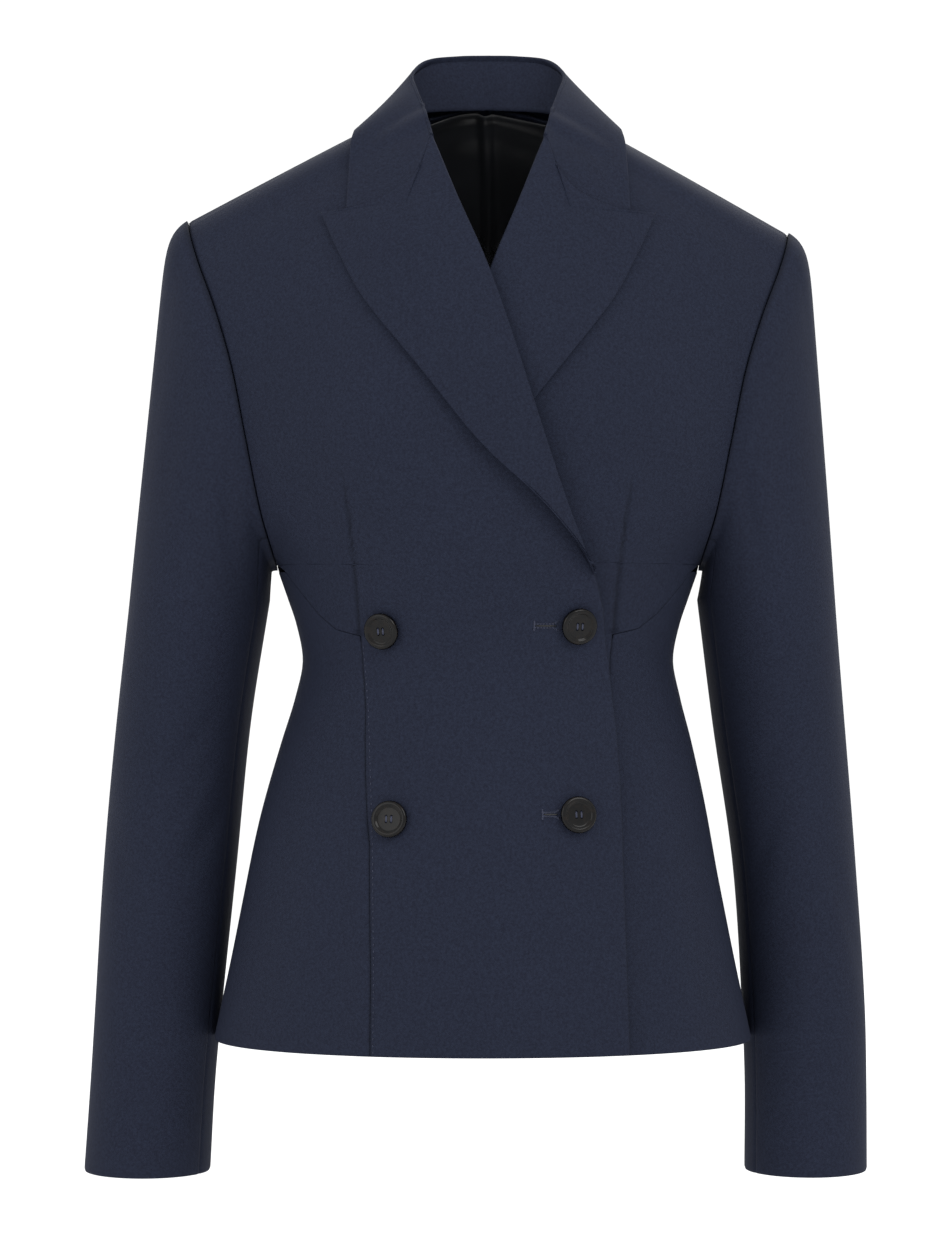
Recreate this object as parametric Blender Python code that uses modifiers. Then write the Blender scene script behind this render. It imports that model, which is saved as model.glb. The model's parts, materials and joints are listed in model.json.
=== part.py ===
"""Double breasted blazer, filled out and hollow: every cut piece is a wall of cloth on one body.

Metres, +Z up, the front faces -Y. The origin is at the middle of the neck opening, at the level
of the shoulders. "Right" and "left" are the wearer's: the right front is at -X and laps on top.
"""

import math

import bpy
import numpy as np
from mathutils import Matrix

CLOTH = 0.0016  # wall of a cut piece: wool, its canvas and its lining
LINING = 0.0010
SEAM = 0.0004  # what each edge gives up along a seam
REST = 0.0018  # air between a panel and what lies on it
LAP_LIFT = 0.0077  # how far the right front stands off the left front that it laps
COLLAR_EASE = 0.0030  # extra air under the collar where it rides over the shoulder
STAND_AIR = 0.0024  # from the neck seam up to the foot of the stand
COLLAR_ARCH = 0.0060  # how far the collar bows out between its fold and its edge
LEFT_LAPEL_AIR = 0.0005  # extra air under the left lapel, below its peak
ROLL_LIFT = 0.0030  # how far a lapel arches off its front
LEAN = 0.0035  # the hem hangs this far to the right front's side
SHOULDER_DROP = 0.008  # the left shoulder is this much lower
NAPE = 0.0155  # height of the collar seam at the back of the neck
NECK_HALF = 0.058  # half the neck opening at the shoulder seams
BUST_FULLNESS = 0.006
HEM, UNDERARM, SHOULDER = -0.605, -0.2955, 0.0246
NECK_ROUND = 0.15  # how softly the shoulders turn at the centre, as a share of their width

# The torso, a row of the cloth each: height at the centre line, depth of the front and of the
# back there, then where the row ends at the side seam or armhole (half width, depth of the front
# and of the back end, height) and how much of a quarter turn the row bends through.
BODY_COLUMNS = ("height", "front", "back", "side_x", "side_front", "side_back", "side_z", "arc")
BODY = np.array(
    [
        (-0.605, -0.1270, 0.125, 0.1772, 0.005, 0.005, -0.605, 90),
        (-0.555, -0.1215, 0.117, 0.1665, 0.005, 0.005, -0.555, 90),
        (-0.505, -0.1165, 0.108, 0.1565, 0.005, 0.005, -0.505, 90),
        (-0.455, -0.1110, 0.099, 0.1466, 0.005, 0.005, -0.455, 90),
        (-0.410, -0.1055, 0.091, 0.1353, 0.005, 0.005, -0.410, 90),
        (-0.380, -0.1025, 0.086, 0.1268, 0.005, 0.005, -0.380, 90),
        (-0.356, -0.1010, 0.083, 0.1222, 0.005, 0.005, -0.356, 90),
        (-0.332, -0.1040, 0.083, 0.1266, 0.005, 0.005, -0.332, 90),
        (-0.3165, -0.1075, 0.085, 0.1318, 0.005, 0.005, -0.3165, 90),
        (-0.2955, -0.1130, 0.088, 0.1390, 0.005, 0.005, -0.2955, 90),
        (-0.275, -0.1170, 0.091, 0.1405, -0.022, 0.032, -0.2875, 80),
        (-0.226, -0.1210, 0.097, 0.1476, -0.050, 0.062, -0.2605, 68),
        (-0.157, -0.1180, 0.102, 0.1574, -0.062, 0.073, -0.2105, 60),
        (-0.088, -0.1030, 0.097, 0.1670, -0.060, 0.069, -0.1630, 52),
        (-0.038, -0.0830, 0.083, 0.1785, -0.050, 0.057, -0.1250, 44),
        (-0.002, -0.0570, 0.064, 0.1905, -0.030, 0.038, -0.0930, 34),
        (0.0185, -0.0290, 0.040, 0.1965, -0.011, 0.018, -0.0735, 24),
        (0.0246, 0.0050, 0.005, 0.1980, 0.005, 0.005, -0.0670, 16),
    ]
)

# Lines drawn on the front, in front elevation: across from the centre, and height.
ROLL_LINE = np.array(  # where the right lapel folds, from the top button's edge to the gorge
    [
        (0.0701, -0.3215),
        (0.0649, -0.3000),
        (0.0579, -0.2824),
        (0.0471, -0.2523),
        (0.0285, -0.1941),
        (0.0016, -0.1139),
        (-0.0200, -0.0600),
        (-0.0359, -0.0182),
    ]
)
FRONT_EDGE = np.array(  # below the lapel, from the hem up
    [(0.0867, -0.6060), (0.0822, -0.4721), (0.0776, -0.3960), (0.0733, -0.3575), (0.0701, -0.3215)]
)
NECK_LINE = np.array([(-0.0365, -0.0190), (-0.0515, -0.0055), (-NECK_HALF - 0.001, 0.0050)])
LAPEL_EDGE = np.array(  # from the foot of the lapel to the point of its peak
    [
        (0.0690, -0.3190),
        (0.0640, -0.3001),
        (0.0578, -0.2860),
        (0.0310, -0.2525),
        (-0.0045, -0.2192),
        (-0.0340, -0.1836),
        (-0.0753, -0.1308),
        (-0.0935, -0.0977),
        (-0.1068, -0.0691),
    ]
)
LAPEL_TOP = np.array([(-0.1068, -0.0691), (-0.0907, -0.0700), (-0.0508, -0.0685)])
FRONT_SEAM = np.array(  # from the waist down, where the side front is sewn on
    [(-0.0736, -0.6060), (-0.0732, -0.5498), (-0.0738, -0.4731), (-0.0762, -0.3870),
     (-0.0780, -0.3600), (-0.0800, -0.3390)]
)
BUST_SEAM = np.array(  # along the top of the side front, from the front seam to the underarm
    [(-0.0820, -0.3385), (-0.0966, -0.3351), (-0.1093, -0.3255), (-0.1188, -0.3150),
     (-0.1322, -0.2985), (-0.1376, -0.2940)]
)

# The neck: the fold at the top of the collar, and the free edge of its fall, right half.
COLLAR_ROLL = np.array(
    [
        (-0.0390, -0.0655, -0.0150),
        (-0.0412, -0.0410, 0.0020),
        (-0.0470, -0.0130, 0.0195),
        (-0.0505, 0.0160, 0.0335),
        (-0.0410, 0.0430, 0.0460),
        (-0.0210, 0.0550, 0.0500),
        (0.0000, 0.0575, 0.0508),
    ]
)
COLLAR_EDGE = np.array(  # front elevation down to the shoulder seam, then back elevation
    [("front", -0.0898, -0.0656), ("front", -0.0885, -0.0420), ("front", -0.0862, -0.0180),
     ("back", -0.0815, -0.0100), ("back", -0.0650, -0.0125), ("back", -0.0350, -0.0135),
     ("back", 0.0000, -0.0135)],
    dtype=object,
)
GORGE = (-0.0550, -0.0625)  # where the collar's end meets the lapel's top edge

# Sleeves: height, distance of the middle from the centre, half width, depth of the middle and
# half depth, from the armhole level to the cuff.
SLEEVE_COLUMNS = ("height", "centre", "half_width", "depth", "half_depth")
RIGHT_SLEEVE = np.array(
    [
        (-0.3165, 0.1910, 0.0449, 0.012, 0.0615),
        (-0.3964, 0.2026, 0.0433, 0.026, 0.0580),
        (-0.4928, 0.2121, 0.0427, 0.034, 0.0535),
        (-0.5887, 0.2197, 0.0406, 0.030, 0.0485),
        (-0.6361, 0.2229, 0.0398, 0.024, 0.0465),
        (-0.6940, 0.2260, 0.0401, 0.016, 0.0450),
    ]
)
LEFT_SLEEVE = np.array(
    [
        (-0.3165, 0.1845, 0.0441, 0.012, 0.0615),
        (-0.3964, 0.1937, 0.0424, 0.028, 0.0580),
        (-0.4928, 0.2050, 0.0394, 0.038, 0.0535),
        (-0.5887, 0.2112, 0.0394, 0.037, 0.0485),
        (-0.6361, 0.2120, 0.0389, 0.030, 0.0465),
        (-0.6940, 0.2112, 0.0390, 0.020, 0.0450),
    ]
)
CAP_ROLL = 0.0118  # how far the sleeve head swells out of the armhole
UNDER_SLEEVE = (150.0, 240.0)  # the under sleeve's seams, in degrees round from the outside

BUTTON_RADIUS, BUTTON_THICK, BUTTON_DISH = 0.01175, 0.0042, 0.0011
BUTTON_AIR, SHANK_RADIUS = 0.0013, 0.0022
BUTTON_HOLE, BUTTON_HOLE_OUT = 0.0011, 0.0023
BUTTONS = {  # front elevation
    "button_right_top": (-0.0643, -0.3350),
    "button_right_low": (-0.0601, -0.4568),
    "button_left_top": (0.0537, -0.3318),
    "button_left_low": (0.0534, -0.4539),
}


def clear_scene():
    for thing in list(bpy.data.objects):
        bpy.data.objects.remove(thing)


def material(name, colour, roughness, metallic=0.0):
    made = bpy.data.materials.new(name)
    made.use_nodes = True
    shader = made.node_tree.nodes["Principled BSDF"]
    shader.inputs["Base Color"].default_value = (*colour, 1.0)
    shader.inputs["Roughness"].default_value = roughness
    shader.inputs["Metallic"].default_value = metallic
    return made


def smooth(at, knots, values):
    """Cubic pieces through the values at the knots, with a slope at each that averages its sides."""
    knots, values = np.asarray(knots, float), np.asarray(values, float)
    at = np.clip(at, knots[0], knots[-1])
    step = np.diff(knots)
    secant = np.diff(values, axis=0) / step.reshape(-1, *[1] * (values.ndim - 1))
    slope = np.concatenate([secant[:1], (secant[1:] + secant[:-1]) / 2, secant[-1:]])
    i = np.clip(np.searchsorted(knots, at, side="right") - 1, 0, len(step) - 1)
    wide = (...,) + (None,) * (values.ndim - 1)
    size, f = step[i][wide], ((at - knots[i]) / step[i])[wide]
    start, end = values[i], values[i + 1]
    return (
        start * (1 + 2 * f) * (1 - f) ** 2
        + slope[i] * size * f * (1 - f) ** 2
        + end * f * f * (3 - 2 * f)
        + slope[i + 1] * size * f * f * (f - 1)
    )


def ease(value):
    """0 below 0, 1 above 1 and a smooth step between."""
    value = np.clip(value, 0.0, 1.0)
    return value * value * (3 - 2 * value)


def torso(face, u, h):
    """The body's outer surface: u runs from -1 at the right side to 1 at the left, h is the row."""
    u, h = np.broadcast_arrays(np.asarray(u, float), np.asarray(h, float))
    row = dict(zip(BODY_COLUMNS[1:], np.moveaxis(smooth(h, BODY[:, 0], BODY[:, 1:]), -1, 0)))
    arc = np.radians(row["arc"])
    across = np.sin(np.abs(u) * arc) / np.sin(arc)
    bow = np.clip((np.cos(u * arc) - np.cos(arc)) / (1 - np.cos(arc)), 0, 1)
    bow = bow ** (1 - 0.12 * (arc / (math.pi / 2)) ** 4)
    rise = np.clip((h - UNDERARM) / (SHOULDER - UNDERARM), 0, 1)
    side_y = row["side_" + face]
    x = np.sign(u) * row["side_x"] * across
    y = side_y + (row[face] - side_y) * bow
    straight = (np.hypot(across, NECK_ROUND) - NECK_ROUND) / (math.hypot(1, NECK_ROUND) - NECK_ROUND)
    z = h + (row["side_z"] - h) * (across**2 * (1 - rise) + straight * rise)
    z = z - SHOULDER_DROP * rise**2 * np.clip(x, 0, None) / BODY[-1, 3]
    if face == "front":
        y = y - BUST_FULLNESS * np.exp(-(((np.abs(x) - 0.08) / 0.045) ** 2) - ((z + 0.195) / 0.055) ** 2)
    x = x - LEAN * ease((-0.36 - h) / 0.14)
    return np.stack([x, y, z], axis=-1)


def outward(face, u, h, tiny=1e-4):
    """The direction straight out of the body's surface."""
    u = np.clip(u, -1 + tiny, 1 - tiny)
    h = np.clip(h, HEM + tiny, SHOULDER - tiny)
    along = torso(face, u + tiny, h) - torso(face, u - tiny, h)
    up = torso(face, u, h + tiny) - torso(face, u, h - tiny)
    normal = np.cross(along, up) if face == "front" else np.cross(up, along)
    return normal / np.linalg.norm(normal, axis=-1, keepdims=True)


def off_torso(face, u, h, lift):
    return torso(face, u, h) + outward(face, u, h) * np.asarray(lift)[..., None]


def locate(face, x, z):
    """The u and h whose point on the torso has this x and z, by repeated correction."""
    x, z = np.broadcast_arrays(np.asarray(x, float), np.asarray(z, float))
    h, u = z.copy(), x / 0.2
    for _ in range(60):
        at = torso(face, u, h)
        u = np.clip(u + (x - at[..., 0]) / 0.25, -1, 1)
        h = np.clip(h + (z - at[..., 2]) * 0.7, HEM, SHOULDER)
    return u, h


def lap_lift(u, h):
    """How far the right front is held off the body, fading out to its side and its shoulder."""
    at = torso("front", u, h)
    return LAP_LIFT * ease((at[..., 0] + 0.13) / 0.085) * ease((-0.03 - at[..., 2]) / 0.07)


def line_on_front(points, mirror=False):
    """A drawn line as (h, u) in rising order, mirrored to the left front if asked."""
    x = -points[:, 0] if mirror else points[:, 0]
    u, h = locate("front", x, points[:, 1])
    order = np.argsort(h)
    return h[order], u[order]


def sheet(name, points, look, thickness=CLOTH, flip=False):
    """A grid of points as a wall, thickened away from the side that its faces point to."""
    rows, columns = points.shape[:2]
    index = np.arange(rows * columns).reshape(rows, columns)
    quads = np.stack([index[:-1, :-1], index[:-1, 1:], index[1:, 1:], index[1:, :-1]], axis=-1)
    quads = quads.reshape(-1, 4)[:, ::-1] if flip else quads.reshape(-1, 4)
    mesh = bpy.data.meshes.new(name)
    mesh.from_pydata(points.reshape(-1, 3).tolist(), [], quads.tolist())
    mesh.shade_smooth()
    mesh.materials.append(look)
    made = bpy.data.objects.new(name, mesh)
    COLLECTION.objects.link(made)
    wall = made.modifiers.new("wall", "SOLIDIFY")
    wall.thickness = thickness
    wall.offset = -1
    wall.use_even_offset = True
    return made


def panel(name, face, heights, inner, outer, columns, look, lift=None, thickness=CLOTH):
    """A piece of the body between two limits of u that are given for each of its rows."""
    heights = np.asarray(heights, float)
    low, high = np.minimum(inner, outer), np.maximum(inner, outer)
    u = low[:, None] + (high - low)[:, None] * np.linspace(0, 1, columns)
    h = np.repeat(heights[:, None], columns, axis=1)
    points = off_torso(face, u, h, lift(u, h) if lift else np.zeros_like(u))
    return sheet(name, points, look, thickness, flip=face == "back")


def seam_u():
    """The seam allowance as a step of u: a quarter of the body is about 0.19 m round."""
    return SEAM / 0.19


def make_fronts(look):
    seam_foot, seam_top = BUST_SEAM[0, 1], UNDERARM
    low = np.linspace(HEM, -0.345, 10)
    waist = np.array([seam_foot - 0.0004, -0.3355, -0.3290, -0.3190, -0.3080, -0.2985, -0.2930])
    high = np.array([-0.283, -0.260, -0.232, -0.200, -0.165, -0.130, -0.095, -0.065, -0.040,
                     -0.020, -0.004, 0.008, 0.017, SHOULDER - 0.0004])
    heights = np.concatenate([low, waist, high])
    border = np.concatenate([FRONT_EDGE, ROLL_LINE[1:], NECK_LINE[1:]])
    cut = np.concatenate([FRONT_SEAM, BUST_SEAM])
    for side, sign in (("right", 1), ("left", -1)):
        mirror = sign < 0
        edge_h, edge_u = line_on_front(border, mirror)
        cut_h, cut_u = line_on_front(cut, mirror)
        inner = np.interp(heights, edge_h, edge_u)
        outer = np.where(heights < cut_h[-1] + 1e-4, np.interp(heights, cut_h, cut_u), -sign)
        outer = outer + sign * seam_u()
        lift = lap_lift if side == "right" else None
        panel(f"front_{side}", "front", heights, inner, outer, 10, look, lift)

        rows = np.concatenate([low, waist[:-1]])
        start = np.interp(rows + 0.0006, cut_h, cut_u) - sign * seam_u()
        end = np.full(len(rows), -sign * (1 - 2 * seam_u()))
        panel(f"side_front_{side}", "front", rows, start, end, 7, look, lift)
    return seam_top


def make_backs(look, inner_look):
    heights = np.concatenate(
        [np.linspace(HEM, -0.38, 8), [-0.356, -0.332, -0.3165, UNDERARM, -0.275, -0.25, -0.22,
         -0.18, -0.14, -0.10, -0.065, -0.035, -0.012, 0.004, 0.0135, 0.019, SHOULDER - 0.0004]]
    )
    nape_h = locate("back", 0.0, NAPE - 0.0004)[1]
    round_neck = np.clip((heights - nape_h) / (SHOULDER - nape_h), 0, 1)
    neck_x = NECK_HALF * np.sqrt(1 - (1 - round_neck) ** 2)
    neck_u = locate("back", neck_x, torso("back", neck_x / 0.198, heights)[:, 2])[0]
    start = np.where(round_neck > 0, np.abs(neck_u), 0.0) + seam_u()
    for side, sign in (("right", -1), ("left", 1)):
        end = np.full(len(heights), sign * (1 - seam_u()))
        panel(f"back_{side}", "back", heights, sign * start, end, 8, look)

    inside = heights[1:-1]
    reach = 0.985 - 0.02 * ease((inside - UNDERARM) / 0.05)
    keep = inside < nape_h
    rows = inside[keep]
    u = np.linspace(-1, 1, 15)[None, :] * reach[keep][:, None]
    h = np.repeat(rows[:, None], 15, axis=1)
    points = off_torso("back", u, h, np.full(u.shape, -(CLOTH + 0.0012)))
    sheet("back_lining", points, inner_look, LINING, flip=True)


def make_lapels(look):
    """Each lapel spans from its roll line to its edge, and its last row is the gorge seam."""
    steps = np.linspace(0, 1, 15)
    roll = smooth(steps, np.linspace(0, 1, len(ROLL_LINE)), ROLL_LINE)
    free = np.concatenate([LAPEL_EDGE, LAPEL_TOP[1:]])
    marks = np.concatenate([np.linspace(0, 0.8, len(LAPEL_EDGE)), [0.88, 1.0]])
    edge = np.stack([np.interp(steps, marks, free[:, i]) for i in (0, 1)], axis=-1)
    tip = np.argmin(np.abs(steps - 0.8))
    edge[tip] = LAPEL_EDGE[-1]
    across = np.linspace(0, 1, 7)
    for side, sign in (("right", 1), ("left", -1)):
        first = 1 if side == "right" else 6
        grid = roll[first:, None] + (edge - roll)[first:, None] * across[None, :, None]
        grid[:, 0, 0] += 0.0002
        u, h = locate("front", sign * grid[..., 0], grid[..., 1])
        arch = ROLL_LIFT * (4 * across * (1 - across))[None, :]
        arch = arch * ease((1 - steps[first:]) / 0.4)[:, None]
        arch = arch if side == "right" else arch * np.linspace(0.0, 1.0, len(grid))[:, None]
        lift = arch + REST + CLOTH
        if side == "left":
            lift = lift + LEFT_LAPEL_AIR * (1 - ease((steps[first:] - 0.55) / 0.25))[:, None]
        if side == "right":
            lift = lift + lap_lift(u, h)
        sheet(f"lapel_{side}", off_torso("front", u, h, lift), look, flip=side == "right")


def clear_of_body(points, side):
    """Points that would lie in the front or the back are brought out to rest on it."""
    out = points.copy()
    for face, sense in (("front", -1), ("back", 1)):
        u, h = locate(face, points[..., 0], points[..., 2])
        lift = np.full(u.shape, CLOTH + REST + COLLAR_EASE)
        if face == "front" and side == "right":
            lift = lift + lap_lift(u, h)
        rest = off_torso(face, u, h, lift)
        reached = np.abs(torso(face, u, h)[..., 2] - points[..., 2]) < 0.001
        ahead = sense * (points[..., 1] - 0.005) > 0
        sunk = sense * (rest[..., 1] - points[..., 1]) > 0
        move = reached & ahead & sunk
        out[..., 1] = np.where(move, rest[..., 1], out[..., 1])
    return out


def make_collar(look):
    """A fall that folds over at the roll and rests on the shoulders, and a stand inside it."""
    turns = np.linspace(0, 1, len(COLLAR_ROLL))
    steps = np.linspace(0, 1, 12)
    across = np.linspace(0, 1, 6)
    falls, stands = [], []
    for side, sign in (("right", 1), ("left", -1)):
        mirror = np.array([sign, 1, 1])
        edge = []
        for face, x, z in list(COLLAR_EDGE) + [("front", *GORGE)]:
            u, h = locate(face, sign * x, z)
            lift = CLOTH + REST + COLLAR_EASE
            if face == "front" and side == "right":
                lift = lift + float(lap_lift(u, h))
            edge.append(off_torso(face, u, h, lift))
        edge, gorge = np.array(edge[:-1]), edge[-1]
        roll = smooth(steps, turns, COLLAR_ROLL * mirror)
        rim = smooth(steps, turns, edge)
        fall = roll[:, None] + (rim - roll)[:, None] * across[None, :, None]
        away = np.cross(np.gradient(fall, axis=0), np.gradient(fall, axis=1)) * sign
        away = away / np.linalg.norm(away, axis=-1, keepdims=True)
        fall = fall + away * (COLLAR_ARCH * 4 * across * (1 - across))[None, :, None]
        knee = 0.58
        end = np.stack([np.interp(across, [0, knee, 1], [roll[0, i], gorge[i], rim[0, i]])
                        for i in range(3)], axis=-1)
        fade = np.clip(1 - steps / 0.25, 0, 1)[:, None, None] ** 1.5
        fall = fall + (end - fall[0])[None] * fade
        falls.append(clear_of_body(fall, side))

        base = []
        for x, z in NECK_LINE:
            u, h = locate("front", sign * x, z)
            base.append(off_torso("front", u, h, float(lap_lift(u, h)) if side == "right" else 0.0))
        nape = torso("back", 0.0, locate("back", 0.0, NAPE)[1])
        shoulder = torso("back", locate("back", -sign * NECK_HALF, -0.01)[0], SHOULDER)
        for share in (0.35, 0.62, 0.85, 1.0):
            round_x = -sign * NECK_HALF * math.sqrt(1 - share**2)
            base.append(np.array([round_x, *(shoulder + (nape - shoulder) * share)[1:]]))
        base = smooth(steps, np.linspace(0, 1, len(base)), np.array(base) + (0, 0, STAND_AIR))
        top = roll * (0.92, 1, 1) + (0, -0.0018, -0.0042)
        rise = np.linspace(0, 1, 4)[None, :, None]
        stands.append(base[3:, None] + (top - base)[3:, None] * rise)
    sheet("collar_fall", np.concatenate([falls[0], falls[1][-2::-1]]), look, flip=True)
    sheet("collar_stand", np.concatenate([stands[0], stands[1][-2::-1]]), look)


def armhole(sign, count=400):
    """The armhole's edge, from the shoulder down the front, under the arm and up the back."""
    h = np.linspace(SHOULDER, UNDERARM, count)
    ring = np.concatenate([torso("front", sign, h), torso("back", sign, h[::-1])[1:]])
    length = np.concatenate([[0], np.cumsum(np.linalg.norm(np.diff(ring, axis=0), axis=1))])
    return length / length[-1], ring


def sleeve(sign, table, degrees, reach):
    """Rings of a sleeve: reach 0 is the armhole seam, 1 the level of the underarm, 2 the cuff."""
    angle = np.radians(degrees)
    share = (degrees % 360.0) / 360.0
    along, ring = armhole(sign)
    seam = np.stack([np.interp(share, along, ring[:, i]) for i in range(3)], axis=-1)
    seam = seam + (sign * 0.0005, 0, 0)
    rows = []
    for part in reach:
        height = table[0, 0] + (table[-1, 0] - table[0, 0]) * max(part - 1, 0)
        centre, wide, depth, deep = smooth(height, table[:, 0][::-1], table[::-1, 1:])
        oval = np.stack([sign * (centre + wide * np.cos(angle)), depth - deep * np.sin(angle),
                         np.full(len(angle), height)], axis=-1)
        if part < 1:
            swell = CAP_ROLL * (0.72 + 0.28 * np.cos(angle))
            roll = np.stack([sign * swell, -0.35 * swell * np.sin(angle), 0.1 * swell], axis=-1)
            rows.append(seam + (oval - seam - roll) * part + roll * (1 - math.exp(-part / 0.035)))
        else:
            rows.append(oval)
    return np.array(rows)


def make_sleeves(look):
    reach = np.array([0, 0.015, 0.04, 0.08, 0.16, 0.28, 0.45, 0.62, 0.8, 1.0])
    reach = np.concatenate([reach, 1 + np.linspace(0, 1, 11)[1:]])
    first, last = UNDER_SLEEVE
    gap = 0.35
    spans = {"top_sleeve": (last - 360 + gap, first - gap, 17), "under_sleeve": (first + gap, last - gap, 7)}
    for side, sign, table in (("right", -1, RIGHT_SLEEVE), ("left", 1, LEFT_SLEEVE)):
        for part, (start, end, columns) in spans.items():
            degrees = np.linspace(start, end, columns)
            points = sleeve(sign, table, degrees, reach)
            sheet(f"{part}_{side}", points, look, flip=sign > 0)


def make_buttons(look):
    """Turned discs with a raised rim and four holes, on a thread shank that meets the cloth."""
    radius, thick = BUTTON_RADIUS, BUTTON_THICK
    base = BUTTON_AIR
    profile = [
        (0.0, base + thick - BUTTON_DISH),
        (radius * 0.66, base + thick - BUTTON_DISH),
        (radius * 0.78, base + thick),
        (radius * 0.93, base + thick),
        (radius, base + thick - 0.0011),
        (radius * 0.97, base + 0.0012),
        (radius * 0.80, base),
        (SHANK_RADIUS, base),
        (SHANK_RADIUS, SEAM),
        (0.0, SEAM),
    ]
    for name, (x, z) in BUTTONS.items():
        u, h = locate("front", x, z)
        place = off_torso("front", u, h, lap_lift(u, h))
        normal = outward("front", u, h)
        mesh = bpy.data.meshes.new(name)
        edges = [(i, i + 1) for i in range(len(profile) - 1)]
        mesh.from_pydata([(r, 0, level) for r, level in profile], edges, [])
        mesh.materials.append(look)
        made = bpy.data.objects.new(name, mesh)
        COLLECTION.objects.link(made)
        turn = made.modifiers.new("turn", "SCREW")
        turn.steps = turn.render_steps = 20
        turn.use_merge_vertices = True
        turn.merge_threshold = 1e-5
        turn.use_normal_calculate = True
        side = np.cross((0.0, 0.0, 1.0), normal)
        side = side / np.linalg.norm(side)
        up = np.cross(normal, side)
        matrix = np.eye(4)
        matrix[:3, 0], matrix[:3, 1], matrix[:3, 2], matrix[:3, 3] = side, up, normal, place
        made.matrix_world = Matrix(matrix.tolist())
        for i in range(4):
            angle = math.radians(45 + 90 * i)
            out = BUTTON_HOLE_OUT
            bpy.ops.mesh.primitive_cylinder_add(vertices=8, radius=BUTTON_HOLE, depth=0.012)
            cutter = bpy.context.object
            cutter.name = f"hole_{name}_{i}"
            spot = place + side * out * math.cos(angle) + up * out * math.sin(angle)
            matrix[:3, 3] = spot + normal * (base + 0.0005 + 0.006)
            cutter.matrix_world = Matrix(matrix.tolist())
            cutter.hide_render = True
            cutter.display_type = "WIRE"
            hole = made.modifiers.new(f"hole_{i}", "BOOLEAN")
            hole.object = cutter
            hole.operation = "DIFFERENCE"


clear_scene()
COLLECTION = bpy.data.collections.new("double_breasted_blazer")
bpy.context.scene.collection.children.link(COLLECTION)
NAVY = material("navy wool", (0.020, 0.024, 0.040), 0.85)
SATIN = material("black satin", (0.006, 0.007, 0.008), 0.35)
HORN = material("dark horn", (0.010, 0.010, 0.012), 0.2)
make_fronts(NAVY)
make_backs(NAVY, SATIN)
make_lapels(NAVY)
make_collar(NAVY)
make_sleeves(NAVY)
make_buttons(HORN)
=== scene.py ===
"""A double breasted blazer in navy wool: the fine surface of each cut piece, with its rolls, seams,
darts and soft creases, and the stitches, buttonholes and buttons on them.

Metres, +Z up, the front faces -Y. "Right" and "left" are the wearer's: the right front is at -X.
"""

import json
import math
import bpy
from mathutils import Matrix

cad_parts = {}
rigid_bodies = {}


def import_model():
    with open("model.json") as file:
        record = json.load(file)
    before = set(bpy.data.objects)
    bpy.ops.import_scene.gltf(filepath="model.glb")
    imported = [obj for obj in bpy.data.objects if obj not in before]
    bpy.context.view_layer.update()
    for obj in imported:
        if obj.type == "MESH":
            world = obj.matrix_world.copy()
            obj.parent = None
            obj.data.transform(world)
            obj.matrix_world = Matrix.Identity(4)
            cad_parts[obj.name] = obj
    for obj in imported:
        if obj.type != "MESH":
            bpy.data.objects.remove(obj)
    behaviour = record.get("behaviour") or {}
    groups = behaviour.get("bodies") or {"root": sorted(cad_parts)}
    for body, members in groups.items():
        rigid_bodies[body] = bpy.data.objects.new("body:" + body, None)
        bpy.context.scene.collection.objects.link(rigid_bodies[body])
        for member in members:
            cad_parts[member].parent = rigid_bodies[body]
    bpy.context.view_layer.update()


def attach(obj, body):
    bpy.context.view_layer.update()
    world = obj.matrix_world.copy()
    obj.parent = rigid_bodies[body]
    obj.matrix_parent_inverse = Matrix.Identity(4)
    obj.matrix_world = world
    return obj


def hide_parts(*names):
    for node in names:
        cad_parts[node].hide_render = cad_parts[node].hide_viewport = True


bl_info = {
    "name": "Double Breasted Blazer",
    "version": (1, 0, 0),
    "blender": (4, 5, 0),
    "location": "3D View > Sidebar > Blazer",
    "description": "Builds a tailored double breasted blazer around its packed solids",
    "category": "Add Mesh",
}

import bpy
import numpy as np
from mathutils import Matrix

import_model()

CLOTH = 0.0016
LINING = 0.0010
FOLD_CLOTH = 0.0011  # wall where the cloth turns back on itself
SEAM = 0.0004
SEWN = 0.0001  # what each edge gives up where two pieces are sewn
REST = 0.0018
LAP_LIFT = 0.0077
COLLAR_EASE = 0.0030
COLLAR_ARCH = 0.0008
LEFT_LAPEL_AIR = 0.0005
ROLL_LIFT = 0.0030
LAPEL_OPEN = 0.0050  # how far the lower edge of the right lapel rolls away from the front
LEAN = 0.0035
SHOULDER_DROP = 0.008
NAPE = 0.0155
NECK_HALF = 0.058
BUST_FULLNESS = 0.006
HEM, UNDERARM, SHOULDER = -0.605, -0.2955, 0.0246
NECK_ROUND = 0.15
QUARTER_ROUND = 0.19  # a quarter of the body, in metres, for each unit of u
SLEEVE_ROUND = 0.32  # round a sleeve

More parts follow.
